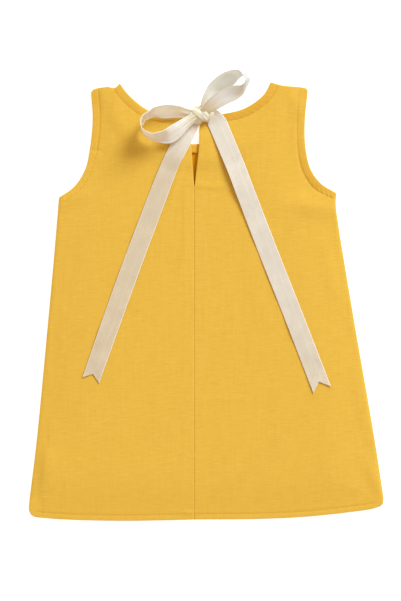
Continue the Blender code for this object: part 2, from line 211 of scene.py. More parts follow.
OUTER = ("hem", "side", "armhole", "shoulder")
left_outer = round_outline(LEFT_EDGES, OUTER)
right_outer = round_outline(RIGHT_EDGES, OUTER)
front_neck = smooth(FRONT_NECK, OUTLINE_STEP)
front_outline = np.vstack([left_outer[1:-1], front_neck, right_outer[:1:-1]])
front_flat, front_faces = cut_cloth(front_outline, [], FRONT_GRID)
front_edge = np.vstack([front_outline[::2], front_outline[:1]])
edge_away = nearest(front_flat, front_edge)[0]
sewn = np.clip((TURNED_EDGE + TURNED_FADE / 2 - edge_away) / TURNED_FADE, 0.0, 1.0)
front = shell(
    "front_panel", front_flat, front_faces,
    top=CLOTH + (FRONT_WALL - CLOTH) * sewn - 0.8 * roll(edge_away, EDGE_ROLL),
    under=0.5 * roll(edge_away, 0.5 * EDGE_ROLL),
    values={"faced_and_painted_light": 0.3 * sewn, "shade": np.zeros(len(front_flat))},
)


class Socket:
    """One output of a material's node. Arithmetic on it adds Math nodes."""

    def __init__(self, tree, out=None):
        self.tree = tree
        self.out = out

    def node(self, kind, settings=None, values=None, output=0):
        """A new node of that type: its settings, then the numbers or links of its sockets."""
        made = self.tree.nodes.new(kind)
        for name, value in (settings or {}).items():
            setattr(made, name, value)
        for name, value in (values or {}).items():
            if isinstance(value, Socket):
                self.tree.links.new(value.out, made.inputs[name])
            else:
                made.inputs[name].default_value = value
        return Socket(self.tree, made.outputs[output])

    def output(self, number):
        """Another output of the same node."""
        return Socket(self.tree, self.out.node.outputs[number])

    def kept(self, name):
        """A number that is kept on the mesh's points."""
        return self.node("ShaderNodeAttribute", {"attribute_name": name}, output=2)

    def between(self, none, full):
        """The colour that is this share of the way from one colour to another."""
        return self.node("ShaderNodeMix", {"data_type": "RGBA"}, {0: self, 6: none, 7: full}, output=2)

    def maths(self, operation, *values):
        return self.node("ShaderNodeMath", {"operation": operation}, dict(enumerate(values)))

    def sine(self):
        return self.maths("SINE", self)

    def unsigned(self):
        return self.maths("ABSOLUTE", self)

    def at_least(self, low):
        return self.maths("MAXIMUM", self, low)

    def __add__(self, other):
        return self.maths("ADD", self, other)

    def __radd__(self, other):
        return self.maths("ADD", other, self)

    def __sub__(self, other):
        return self.maths("SUBTRACT", self, other)

    def __rsub__(self, other):
        return self.maths("SUBTRACT", other, self)

    def __mul__(self, other):
        return self.maths("MULTIPLY", self, other)

    def __rmul__(self, other):
        return self.maths("MULTIPLY", other, self)


def new_material(name, **constants):
    """A Principled material with these constants, and the blank socket that its nodes start from."""
    material = bpy.data.materials.new(name)
    material.use_nodes = True
    shader = material.node_tree.nodes["Principled BSDF"]
    for socket, value in constants.items():
        shader.inputs[socket.replace("_", " ")].default_value = value
    return material, shader, Socket(material.node_tree)


def seen_as(red, green, blue, light=1.0):
    """The linear colour of a surface that is photographed as this sRGB colour under the studio's light."""
    channels = [c / 255 for c in (red, green, blue)]
    linear = [c / 12.92 if c <= 0.04045 else ((c + 0.055) / 1.055) ** 2.4 for c in channels]
    return tuple(c / light for c in linear) + (1.0,)


KEY_LEVEL = 1.12          # how bright a white sheet is under the studio's light
THREAD = 0.00072          # from one thread of the weave to the next, in metres


def cloth_material(name, main, thin, deep, faced_and_painted_light):
    """Slubbed plain weave: threads over and under, thick and thin places in the weft, a dry matt face."""
    material, shader, start = new_material(
        name, Roughness=0.86, Specular_IOR_Level=0.22, Sheen_Weight=0.12, Sheen_Roughness=0.5,
        Sheen_Tint=seen_as(255, 225, 140))
    place = start.node("ShaderNodeTexCoord", output=3)
    x = start.node("ShaderNodeSeparateXYZ", values={0: place})
    y = x.output(1)

    def streaks(long, high, detail, seed):
        """Noise drawn out along the weft: long and high are its size in metres."""
        at = start.node("ShaderNodeCombineXYZ", values={0: x * (1 / long), 1: y * (1 / high), 2: seed})
        return start.node("ShaderNodeTexNoise", {"noise_dimensions": "3D"},
                          {"Vector": at, "Scale": 1.0, "Detail": detail, "Roughness": 0.55})

    slub = streaks(0.015, 0.0008, 2.0, 3.1)
    fine = streaks(0.005, 0.0007, 1.0, 8.7)
    warp = streaks(0.0010, 0.030, 1.0, 5.3)
    cloud = streaks(0.055, 0.045, 2.0, 1.9)
    bend = (slub - 0.5) * 1.1
    across = (x * (math.pi / THREAD) + bend * 0.4).sine()
    down = (y * (math.pi / THREAD) + bend).sine()
    over = across * down * 0.5 + 0.5
    weave = across.unsigned() * over + down.unsigned() * (1.0 - over)
    thick = ((slub - 0.52) * 5.0).at_least(0.0)
    tone = (slub - 0.5) * 1.1 + (fine - 0.5) * 0.9 + (warp - 0.5) * 0.6 + (weave - 0.6) * 0.3 + 0.5
    ground = tone.between(deep, thin)
    soft = ((cloud - 0.35) * 0.9).between(ground, main)
    # The turned strips take the faced colour: the doubled cloth, partly painted shade.
    strips = start.kept("faced_and_painted_light").between(soft, faced_and_painted_light)
    # Painted shade: the grooves of the stitching and a ring round the facing's tuck darken towards the deep
    # colour.
    painted_shade = start.kept("shade").between(strips, deep)
    height = weave * 0.09 + slub * 0.05 + thick * 0.03 + fine * 0.03 + warp * 0.02
    bump = start.node("ShaderNodeBump", values={"Height": height, "Strength": 0.6, "Distance": 0.001})
    start.tree.links.new(painted_shade.out, shader.inputs["Base Color"])
    start.tree.links.new(bump.out, shader.inputs["Normal"])
    return material


outside_cloth = cloth_material(
    "yellow_slub_cotton",
    main=seen_as(239, 188, 67, KEY_LEVEL), thin=seen_as(245, 197, 78, KEY_LEVEL),
    deep=seen_as(229, 176, 57, KEY_LEVEL), faced_and_painted_light=seen_as(233, 175, 54, KEY_LEVEL))
# This copy of the cloth has painted bounce light: the red of the inside is more than a picture can show,
# standing in for light that comes back to it from cloth on every side.
inside_cloth_painted_bounce = cloth_material(
    "yellow_slub_cotton_inside_painted_bounce",
    main=seen_as(264, 181, 4, KEY_LEVEL), thin=seen_as(264, 187, 10, KEY_LEVEL),
    deep=seen_as(252, 167, 2, KEY_LEVEL), faced_and_painted_light=seen_as(246, 185, 60, KEY_LEVEL))
front.data.materials.append(outside_cloth)
front.data.materials.append(inside_cloth_painted_bounce)
upper_faces = np.arange(len(front.data.polygons)) < len(front_faces)
front.data.polygons.foreach_set("material_index", upper_faces.astype(np.int32))
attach(front, "root")
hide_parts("front")


# ------------------------------------------------------------------ front neck facing
# A narrow strip of the same cloth, sewn to the front's neck and turned to the inside, its lower edge
# folded under. It lies on the front and shows in the slit, with one small tuck.

FACING_WIDTH = 9.0
FACING_LOW, FACING_WALL = 1.5, 0.8
FACING_GRID = 1.3
TUCK, TUCK_SIZE = (1.6, 367.6), (3.2, 1.1)      # across, up: where the strip's lower edge is tucked
TUCK_RISE = 0.35
RIDGE_IN, RIDGE_WIDTH, RIDGE_RISE = 2.5, 1.8, 0.25      # the soft ridge just inside the strip's folded edges

lower_edge = inset(front_neck, -FACING_WIDTH)
facing_outline = np.vstack([front_neck[1:-1], lower_edge[-2:0:-1]])
facing_flat, facing_faces = cut_cloth(facing_outline, [], FACING_GRID)
facing_edge = nearest(facing_flat, np.vstack([facing_outline, facing_outline[:1]]))[0]
from_tuck = np.linalg.norm((facing_flat - TUCK) / TUCK_SIZE, axis=1)
facing_top = FACING_LOW + FACING_WALL + RIDGE_RISE * np.exp(-((facing_edge - RIDGE_IN) / RIDGE_WIDTH) ** 2)
facing = shell(
    "front_neck_facing_strip", facing_flat, facing_faces,
    top=facing_top + TUCK_RISE * np.exp(-from_tuck ** 2) - 0.9 * roll(facing_edge, EDGE_ROLL),
    under=np.full(len(facing_flat), FACING_LOW),
    # Painted shade: a ring of the deep colour round the tuck.
    values={"faced_and_painted_light": np.full(len(facing_flat), 0.95), "shade": 0.4 * np.exp(-(from_tuck - 1.2) ** 2 * 4)},
)
facing.data.materials.append(inside_cloth_painted_bounce)
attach(facing, "root")
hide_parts("front_neck_facing")


# ------------------------------------------------------------------ back halves
# Two halves of slubbed cotton, seamed down the middle up to the slit. Neck, armholes and hem are turned
# and topstitched; the facings inside show as a deeper colour, partly painted shade, and the stitched grooves
# have painted shade. They lie on the front, a little puffed.

GAP = 0.3
PUFF_HEIGHT, PUFF_REACH = 2.2, 26.0     # how far the back rises over the front between its edges
FACING_RISE = 1.0                       # how far the front neck's facing lifts the back over it
FACING_CLEAR, FACING_FADE = 10.0, 26.0
BACK_GRID = 1.9
STITCH_ROWS = (-5.6, -4.2, -2.9, -1.7, -0.9, -0.4, 0.1, 0.7, 1.6)     # from the stitching, inwards is +
SEAM_ROWS = (1.2, 2.0, 9.5, 10.6, 11.7, 12.8)
LEAST_INSET = 1.2                       # rows of points stay this far inside an edge
GROOVE = 0.65                           # half width of the groove along the stitching
NO_GROOVE = 0.01                        # where the table's groove is less deep, nothing is stitched
PUCKERS = [(5.3, 0.9, 1.0), (8.9, -0.5, 0.6)]       # columns: length, slant, strength
SLIT_START = (331.0, 337.0)             # up: where the seam ends and the slit opens
SEAM_DEPTH, SEAM_IN, SEAM_WIDTH = 0.14, -0.6, 0.55
SEAM_DRAWS = [(7.3, 0.35), (17.0, 0.3)]             # how its stitches draw the seam in: length, strength
ALLOWANCE, ALLOWANCE_RISE = (10.2, 12.6), 0.06      # the seam's turned-in edges, under the cloth
WALL_FADE = 7.0                         # how far the doubled thickness of an edge reaches
SEAM_FADE, SIDE_FADE, SIDE_DIP = 1.5, 1.4, 0.5      # how the seam's and the sides' edges are rounded

# How each stitched edge shows, along its run. Columns: share of the run, width, deeper colour (the doubled
# cloth, partly painted shade), depth of the groove, pull of the puckers, rise of the edge over the groove.
STITCHED = {
    "left": {
        "neck": [(0.0, 8.5, 0.30, 0.14, 0.05, 0.40), (0.3, 8.5, 0.45, 0.22, 0.06, 0.45),
                 (1.0, 8.0, 0.50, 0.22, 0.06, 0.45)],
        "armhole": [(0.0, 6.5, 0.05, 0.02, 0.07, 0.10), (0.45, 6.8, 0.05, 0.08, 0.07, 0.12),
                    (0.54, 7.3, 0.25, 0.45, 0.06, 0.22), (1.0, 7.3, 0.30, 0.45, 0.03, 0.20)],
        "hem": [(0.0, 5.6, 0.0, 0.20, 0.02, 0.05), (0.88, 5.6, 0.0, 0.20, 0.02, 0.05),
                (0.91, 5.6, 0.0, 0.0, 0.0, 0.0), (1.0, 5.6, 0.0, 0.0, 0.0, 0.0)],
    },
    "right": {
        "neck": [(0.0, 8.0, 0.40, 0.12, 0.08, 0.60), (0.25, 8.0, 0.75, 0.20, 0.13, 1.0),
                 (1.0, 8.0, 0.70, 0.25, 0.10, 0.95)],
        "armhole": [(0.0, 6.5, 0.40, 0.15, 0.20, 0.60), (0.18, 8.5, 0.55, 0.35, 0.14, 0.95),
                    (0.45, 8.0, 0.35, 0.40, 0.06, 0.80), (0.65, 7.5, 0.05, 0.22, 0.05, 0.45),
                    (1.0, 8.0, 0.0, 0.05, 0.04, 0.30)],
        "hem": [(0.0, 5.6, 0.0, 0.22, 0.02, 0.05), (0.91, 5.6, 0.0, 0.22, 0.03, 0.05),
                (0.94, 5.6, 0.0, 0.0, 0.0, 0.0), (1.0, 5.6, 0.0, 0.0, 0.0, 0.0)],
    },
}

# Soft creases, weakest at their ends. Columns: across and up of one end, across and up of the other, half
# width on the left and on the right of that way, height (- is a trough).
END_STRENGTH = 0.35
CREASES = [
    (143.0, 311.0, 98.0, 318.0, 10.5, 10.5, 1.9),
    (140.0, 323.0, 120.0, 327.0, 3.2, 3.2, 0.40),
    (100.0, 322.0, 72.0, 306.0, 9.0, 9.0, 0.45),
    (131.0, 275.0, 144.0, 212.0, 8.0, 8.0, 0.75),
    (162.0, 152.0, 172.0, 84.0, 7.5, 7.5, 0.85),
    (174.0, 60.0, 184.5, 28.0, 6.0, 6.0, 0.95),
    (143.0, 38.0, 178.0, 26.0, 6.0, 6.0, 0.25),
    (-139.0, 317.0, -100.0, 329.0, 7.0, 7.0, 0.85),
    (-129.0, 216.0, -131.0, 150.0, 7.0, 7.0, 0.30),
    (-131.0, 140.0, -133.0, 118.0, 5.0, 5.0, 0.20),
    (-147.0, 74.0, -151.0, 26.0, 16.0, 5.2, 2.1),
    (-82.0, 410.0, -85.0, 376.0, 6.0, 6.0, 0.30),
    (-84.0, 426.0, -86.0, 407.0, 3.0, 3.0, -0.40),
    (-105.0, 371.5, -91.0, 369.5, 1.9, 1.9, -0.45),
    (-81.8, 432.0, -75.2, 437.0, 1.1, 1.1, -0.6),
    (97.0, 430.0, 107.0, 400.0, 7.5, 7.5, 0.95),
    (98.5, 408.0, 102.0, 345.0, 3.6, 3.6, 0.40),
    (-6.0, 336.0, 38.0, 334.0, 3.4, 3.4, 0.42),
    (-8.0, 331.0, 27.0, 329.5, 1.8, 1.8, -0.12),
    (9.0, 390.0, 17.0, 352.0, 7.0, 7.0, 0.50),
    (-12.0, 372.0, -26.0, 335.0, 6.0, 6.0, 0.45),
    (-9.6, 334.0, -9.4, 262.0, 2.8, 2.8, 0.36),
    (-11.0, 284.0, -12.5, 256.0, 5.0, 5.0, 0.24),
    (-9.6, 361.0, -25.6, 319.0, 3.2, 3.2, 0.80),
    (-8.0, 121.0, 52.0, 122.0, 3.2, 3.2, 0.16),
    (8.0, 190.0, 44.0, 190.5, 2.5, 2.5, 0.12),
    (73.0, 220.0, 76.0, 182.0, 6.0, 6.0, 0.12),
    (60.0, 250.0, 66.0, 200.0, 7.0, 7.0, 0.18),
    (-24.0, 282.0, -14.0, 252.0, 6.0, 6.0, 0.24),
    (134.0, 86.0, 138.0, 32.0, 11.0, 11.0, 0.20),
    (-56.0, 62.0, -50.0, 40.0, 12.0, 12.0, 0.16),
    (-12.0, 7.6, 1.0, 7.8, 2.4, 2.4, 0.40),
]

lines = {
    side: {name: smooth(rows, CURVE_STEP) for name, rows in half.items()}
    for side, half in (("left", LEFT_EDGES), ("right", RIGHT_EDGES))
}
facing_middle = inset(smooth(FRONT_NECK, CURVE_STEP), -FACING_WIDTH / 2)


def step_up(value, low, high):
    """0 below low, 1 above high, and a smooth slope between."""
    share = np.clip((value - low) / (high - low), 0.0, 1.0)
    return share * share * (3.0 - 2.0 * share)


def lie_of_back(points):
    """Height of the back's outer face before its sewing: low at the edges, puffed, up on the facing."""
    puff = np.ones(len(points))
    for name in ("hem", "side", "armhole", "neck"):
        away = np.minimum(*(nearest(points, lines[side][name])[0] for side in lines))
        puff *= 1.0 - np.exp(-(away / PUFF_REACH) ** 2)
    on_facing = 1.0 - step_up(nearest(points, facing_middle)[0], FACING_CLEAR, FACING_FADE)
    return 2 * FRONT_WALL + GAP + PUFF_HEIGHT * puff + (FACING_RISE + GAP) * on_facing


def creases(points):
    """The soft ridges and troughs that lying about has left in the cloth."""
    total = np.zeros(len(points))
    for x0, y0, x1, y1, left_width, right_width, height in CREASES:
        a, b = np.array([x0, y0]), np.array([x1, y1])
        share = np.clip((points - a) @ (b - a) / ((b - a) @ (b - a)), 0.0, 1.0)
        away = np.linalg.norm(points - (a + share[:, None] * (b - a)), axis=1)
        on_left = (points[:, 1] - y0) * (x1 - x0) - (points[:, 0] - x0) * (y1 - y0) > 0.0
        strength = END_STRENGTH + (1.0 - END_STRENGTH) * np.sin(math.pi * share)
        total += height * strength * np.exp(-(away / np.where(on_left, left_width, right_width)) ** 2)
    return total


def stitched(side, name, share):
    """The columns of a stitched edge at these shares of its run, but for the shares themselves."""
    shares, *columns = np.array(STITCHED[side][name]).T
    return [np.interp(share, shares, column) for column in columns]


def sewing(points, side):
    """What the stitching and the seam do to the outer face, how deep its colour is, and the painted shade in
    its grooves.
    """
    across, up = points.T
    height = np.zeros(len(points))
    faced_and_painted_light = np.zeros(len(points))
    painted_shade = np.zeros(len(points))
    for name in STITCHED[side]:
        line = lines[side][name]
        away, along = nearest(points, line)
        length = np.linalg.norm(np.diff(line, axis=0), axis=1).sum()
        width, deeper_painted_shade, depth, pull, rise = stitched(side, name, along / length)
        strip = 1.0 - step_up(away - width, -0.5, 0.5)
        groove = np.exp(-((away - width) / GROOVE) ** 2)
        welt = 1.0 - np.clip((away - LEAST_INSET) / (width - LEAST_INSET), 0.0, 1.0) ** 1.7
        puckers = sum(strength * np.sin((along + slant * away) * 2 * math.pi / long)
                      for long, slant, strength in PUCKERS)
        height += rise * welt - depth * groove
        height += pull * puckers * np.exp(-((away - width + 2.0) / 3.2) ** 2)
        faced_and_painted_light = np.maximum(faced_and_painted_light, deeper_painted_shade * strip)
        # Painted shade: the colour darkens along each stitched groove.
        painted_shade = np.maximum(painted_shade, (0.25 + 2.0 * depth) * groove * (depth > NO_GROOVE))
    seamed = 1.0 - step_up(up, *SLIT_START)
    draw = sum((strength * np.sin(up * 2 * math.pi / long) for long, strength in SEAM_DRAWS), 1.0)
    height -= seamed * SEAM_DEPTH * draw * np.exp(-((across - SEAM_IN) / SEAM_WIDTH) ** 2)
    height += seamed * ALLOWANCE_RISE * (1.0 - step_up(np.abs(across), *ALLOWANCE))
    return height, faced_and_painted_light, painted_shade


def back_half(name, side, edges):
    """One half of the back, cut, puffed, creased and stitched."""
    outline = round_outline(edges, edges)
    turn = 1.0 if side == "left" else -1.0
    rows = []
    for edge in STITCHED[side]:
        line = smooth(edges[edge], OUTLINE_STEP * 0.8)
        width = stitched(side, edge, np.linspace(0.0, 1.0, len(line)))[0]
        rows += [inset(line, -turn * np.maximum(width + by, LEAST_INSET)) for by in STITCH_ROWS]
    rows += [inset(smooth(edges["seam"], OUTLINE_STEP), -turn * by) for by in SEAM_ROWS]
    flat, faces = cut_cloth(outline, rows, BACK_GRID)
    edge_away = nearest(flat, np.vstack([outline[::2], outline[:1]]))[0]
    height, faced_and_painted_light, painted_shade = sewing(flat, side)
    top = lie_of_back(flat) + creases(flat) + height
    on_seam = np.exp(-(nearest(flat, lines[side]["seam"])[0] / SEAM_FADE) ** 2)
    on_side = np.exp(-(nearest(flat, lines[side]["side"])[0] / SIDE_FADE) ** 2)
    wall = CLOTH + (FRONT_WALL - CLOTH) * np.exp(-(edge_away / WALL_FADE) ** 4)
    top = top - roll(edge_away, EDGE_ROLL) * (1.0 - 0.7 * on_seam) - SIDE_DIP * on_side
    under = top - wall + 0.4 * roll(edge_away, EDGE_ROLL)
    piece = shell(name, flat, faces, top, under, {"faced_and_painted_light": faced_and_painted_light, "shade": painted_shade})
    piece.data.materials.append(outside_cloth)
    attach(piece, "root")
    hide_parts("back_" + side)


back_half("left_back", "left", LEFT_EDGES)
back_half("right_back", "right", RIGHT_EDGES)


# ------------------------------------------------------------------ topstitching
# One row of lockstitch in a matching thread round the neck, each armhole and the hem, at the inner edge of
# the turned cloth. Each stitch is a short length of thread that dips into the cloth at both ends.

STITCH, STITCH_GAP = 2.5, 0.5
STITCH_LINE_STEP = 0.5
CORNER_CLEAR = 2.0              # no stitch is nearer than this to the edge that a row ends at
THREAD_RADIUS = 0.2
THREAD_SUNK, THREAD_ARCH = 0.12, 0.22
THREAD_SIDES, THREAD_RINGS = 6, 5

thread_material, thread_shader, thread_start = new_material("matching_thread", Roughness=0.6)
thread_place = thread_start.node("ShaderNodeTexCoord", output=3)
thread_tone = thread_start.node("ShaderNodeTexNoise", values={"Vector": thread_place, "Scale": 900.0})
thread_colour = thread_tone.between(seen_as(222, 166, 52, KEY_LEVEL), seen_as(240, 188, 74, KEY_LEVEL))
thread_start.tree.links.new(thread_colour.out, thread_shader.inputs["Base Color"])


def tube_faces(rings, sides):
    """The faces of a tube made of rings of points, closed at both ends."""
    pairs = [(r * sides + k, r * sides + (k + 1) % sides) for r in range(rings - 1) for k in range(sides)]
    ends = [tuple(reversed(range(sides))), tuple(range((rings - 1) * sides, rings * sides))]
    return [(a, b, b + sides, a + sides) for a, b in pairs] + ends


def stitching(name, side, edges):
    """All the stitches of one half of the back."""
    points, faces = [], []
    stitch = tube_faces(THREAD_RINGS, THREAD_SIDES)
    turn = 1.0 if side == "left" else -1.0
    for edge in STITCHED[side]:
        line = smooth(edges[edge], STITCH_LINE_STEP)
        width, _, depth, *_ = stitched(side, edge, np.linspace(0.0, 1.0, len(line)))
        line = inset(line, -turn * width)
        others = [other for its_name, other in lines[side].items() if its_name != edge]
        clear = np.min([nearest(line, other)[0] for other in others], axis=0)
        line = line[(clear > CORNER_CLEAR) & (depth > NO_GROOVE)]
        run = np.concatenate([[0.0], np.cumsum(np.linalg.norm(np.diff(line, axis=0), axis=1))])
        starts = np.arange(1.0, run[-1] - STITCH, STITCH + STITCH_GAP)
        share = np.linspace(0.0, 1.0, THREAD_RINGS)
        at = (starts[:, None] + share * STITCH).ravel()
        middle = np.column_stack([np.interp(at, run, column) for column in line.T])
        ahead = np.column_stack([np.interp(at + 0.1, run, column) for column in line.T])
        way = ahead - middle
        way /= np.maximum(np.linalg.norm(way, axis=1), 1e-9)[:, None]
        top = lie_of_back(middle) + creases(middle) + sewing(middle, side)[0]
        arch = np.tile(np.sin(math.pi * share), len(starts))
        lift = top - THREAD_SUNK + THREAD_ARCH * arch
        thin = THREAD_RADIUS * (0.55 + 0.45 * arch)
        first = len(points)
        for (x, y), z, (wx, wy), radius in zip(middle, lift, way, thin):
            for k in range(THREAD_SIDES):
                angle = 2 * math.pi * k / THREAD_SIDES
                out = radius * math.cos(angle)
                points.append((x - wy * out, y + wx * out, z + radius * math.sin(angle)))
        for base in range(first, len(points), THREAD_RINGS * THREAD_SIDES):
            faces += [tuple(base + i for i in face) for face in stitch]
    piece = make_mesh(name, points, faces, {})
    piece.data.materials.append(thread_material)
    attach(piece, "root")


stitching("left_topstitching", "left", LEFT_EDGES)
stitching("right_topstitching", "right", RIGHT_EDGES)


# ------------------------------------------------------------------ ribbon loops and tails
# One length of cream satin ribbon, 20 mm wide with woven edges, drawn through the neck's edge and tied in a
# bow. It is gathered where it enters the knot; the loops stand on edge, and the tails lie on the back.

RIBBON_WIDTH = 19.6
RIBBON_WALL = 0.45
RIBBON_STEP = 1.0
RIBBON_STRIPS = 26
GATHER_FOLD = 0.6               # height of the small folds in fully gathered ribbon
FOLDS = [(2.4, 0.6, 1.0), (4.3, 2.0, 0.45)]         # columns: half waves across, start, strength
TWIST, TWIST_LENGTH = 0.25, 9.0                     # a slight twist to and fro along it
RIPPLE, RIPPLE_LENGTH = 0.12, 5.3
NOTCH_REACH = 12.0              # how far from its end a tail is cut into by the notch
LEFT_CURL = 1.3                 # how far the left loop's lower woven edge curls outwards
CURL_FROM = 0.80                # where across the half width the curl starts
TURNS_AT, TURN_FADE = 85.0, 4.0                     # the lean at which the curl changes sides
LIES_FLAT_AT, FLAT_FADE = 150.0, 25.0               # the lean at which the curl has ended

# Columns: across, up, height of its middle (above the surface for a loop, above the cloth for a tail), lean
# of its width (0 flat, 90 on edge, 180 turned over), width, and cup (bow of the section).
LOOP_LEFT = [
    (2.4, 405.5, 8.6, 12.0, 9.5, 1.5),
    (-9.0, 408.0, 10.0, 28.0, 10.5, 0.6),
    (-18.2, 409.1, 11.0, 46.0, 16.0, -0.8),
    (-29.3, 409.2, 12.6, 48.0, 17.6, -2.4),
    (-39.5, 408.9, 14.2, 68.0, 18.6, -1.8),
    (-46.0, 405.3, 16.6, 79.0, 19.4, -0.8),
    (-51.3, 400.9, 18.8, 80.0, 19.6, 0.0),
    (-53.0, 395.8, 20.2, 85.0, 19.6, 0.0),
    (-52.2, 390.6, 20.8, 90.0, 19.6, 0.0),
    (-48.3, 386.8, 21.0, 95.5, 19.6, 0.4),
    (-41.9, 383.9, 20.6, 104.0, 19.4, 1.2),
    (-34.0, 383.6, 19.8, 119.0, 19.0, 2.0),
    (-26.0, 384.2, 18.6, 142.0, 18.2, 1.4),
    (-18.0, 389.0, 16.2, 151.0, 16.8, -0.4),
    (-9.6, 396.4, 13.6, 158.0, 12.0, -1.2),
    (-3.0, 401.4, 11.6, 168.0, 9.5, -1.5),
    (4.0, 405.0, 9.8, 174.0, 9.5, -1.5),
]
LOOP_RIGHT = [
    (7.4, 405.0, 10.0, 170.0, 10.0, -1.5),
    (13.6, 411.6, 12.8, 156.0, 12.0, -1.2),
    (21.8, 418.1, 15.6, 145.0, 16.0, -0.6),
    (31.0, 423.4, 17.5, 144.0, 17.2, 0.1),
    (40.5, 427.2, 17.5, 134.5, 18.4, 0.6),
    (47.2, 430.2, 17.2, 114.0, 19.3, -1.0),
    (50.1, 434.0, 16.6, 103.0, 19.5, -0.8),
    (52.0, 439.0, 15.8, 102.0, 19.6, 0.0),
    (51.5, 443.2, 15.0, 109.0, 19.6, 0.0),
    (49.9, 446.4, 14.2, 99.0, 19.6, 0.0),
    (46.0, 447.2, 13.2, 76.0, 19.6, 0.0),
    (40.0, 445.4, 12.0, 58.0, 19.6, 0.0),
    (35.0, 442.1, 11.2, 43.0, 19.6, 0.0),
    (28.2, 438.0, 10.6, 40.0, 19.6, 0.3),
    (19.3, 431.9, 10.2, 48.0, 18.5, 0.6),
    (13.7, 423.1, 10.2, 43.0, 14.5, 1.0),
    (10.4, 414.2, 9.6, 20.0, 10.0, 1.2),
    (6.4, 406.5, 8.6, 10.0, 9.5, 1.2),
]
TAIL_LEFT = [
    (2.6, 404.0, 1.8, 0.0, 12.0, 1.5),
    (-3.6, 396.5, 1.6, 6.0, 16.0, 1.0),
    (-10.4, 384.0, 1.5, 7.0, 17.9, 0.5),
    (-16.7, 371.5, 1.3, 4.0, 17.6, 0.1),
    (-22.8, 360.0, 1.1, 2.0, 17.1, 0.0),
    (-30.6, 341.0, 1.0, 0.0, 17.7, 0.0),
    (-38.2, 321.0, 0.9, 0.0, 18.2, 0.0),
    (-60.8, 261.0, 0.9, 0.0, 18.6, 0.0),
    (-82.5, 201.0, 0.9, 0.0, 18.5, 0.0),
    (-103.8, 140.5, 0.9, 0.0, 17.7, 0.0),
]
TAIL_RIGHT = [
    (8.4, 405.0, 1.8, 0.0, 11.0, 1.5),
    (17.0, 404.5, 1.6, 1.0, 16.0, 0.8),
    (22.5, 398.0, 1.2, 0.0, 18.8, 0.2),
    (26.4, 389.0, 1.1, 0.0, 18.8, 0.0),
    (34.0, 371.0, 2.0, 3.0, 18.8, 0.0),
    (42.3, 351.0, 3.1, 5.0, 18.8, 0.0),
    (49.0, 333.0, 2.9, 5.0, 18.8, 0.0),
    (53.7, 321.0, 1.9, 3.0, 18.8, 0.0),
    (61.3, 301.0, 1.0, 1.0, 18.8, 0.0),
    (76.8, 261.0, 0.8, 0.0, 18.8, 0.0),
    (100.5, 201.0, 0.8, 0.0, 18.8, 0.0),
    (127.5, 131.0, 0.8, 0.0, 18.8, 0.0),
]


def satin_material(name, face, deeper_painted_shade, warmer_painted_bounce, edge, through, clear):
    """Satin ribbon: a smooth soft shine, fine threads along it, and a brighter woven edge on each side."""
    material, shader, start = new_material(
        name, Roughness=0.38, Anisotropic=0.3, Specular_IOR_Level=0.35, Sheen_Weight=0.08,
        Sheen_Roughness=0.35, Subsurface_Weight=clear, Subsurface_Radius=(1.0, 0.95, 0.88),
        Subsurface_Scale=through)
    along, across = start.kept("along"), start.kept("across")

    def threads(long, wide, seed):
        """Noise drawn out along the ribbon: long and wide are its size in millimetres."""
        place = {0: along * (1 / long), 1: across * (1 / wide), 2: seed}
        at = start.node("ShaderNodeCombineXYZ", values=place)
        return start.node("ShaderNodeTexNoise", values={"Vector": at, "Scale": 1.0, "Detail": 2.0})

    fine = threads(14.0, 0.35, 2.0)
    ribs = threads(0.4, 9.0, 5.0)
    cloud = threads(11.0, 9.0, 7.0)
    from_edge = RIBBON_WIDTH / 2 - across.unsigned()
    woven = start.node("ShaderNodeMapRange", {"interpolation_type": "SMOOTHSTEP"},
                       {0: from_edge, 1: 0.5, 2: 1.1, 3: 1.0, 4: 0.0})
    # Painted shade: the deeper colour darkens the satin where it lies in shade or turns its sheen away from
    # the light.
    shaded = start.kept("deeper_painted_shade").between(face, deeper_painted_shade)
    # Painted light: the warmer colour stands for yellow light bounced up from the cloth and shining through
    # other turns.
    silk = start.kept("warmer_painted_bounce").between(shaded, warmer_painted_bounce)
    light = (fine - 0.5) * 0.10 + (ribs - 0.5) * 0.08 + (cloud - 0.5) * 0.16 + 1.0
    toned = start.node("ShaderNodeVectorMath", {"operation": "SCALE"}, {0: silk, "Scale": light})
    whole = (woven * 0.8).between(toned, edge)
    height = fine * 0.03 + ribs * 0.02 + woven * 0.12
    bump = start.node("ShaderNodeBump", values={"Height": height, "Strength": 0.5, "Distance": 0.001})
    start.tree.links.new(whole.out, shader.inputs["Base Color"])
    start.tree.links.new(bump.out, shader.inputs["Normal"])
    return material


# Painted light: the yellow that the cloth bounces up and that other turns let through.
PAINTED_WARM_BOUNCE = seen_as(228, 200, 146, KEY_LEVEL)      # where the yellow cloth and other turns shine through
satin_on_cloth = satin_material(
    "cream_satin_on_cloth", face=seen_as(236, 225, 208, KEY_LEVEL), deeper_painted_shade=seen_as(226, 207, 176, KEY_LEVEL),
    warmer_painted_bounce=PAINTED_WARM_BOUNCE, edge=seen_as(250, 238, 220, KEY_LEVEL), through=0.0008, clear=0.5)
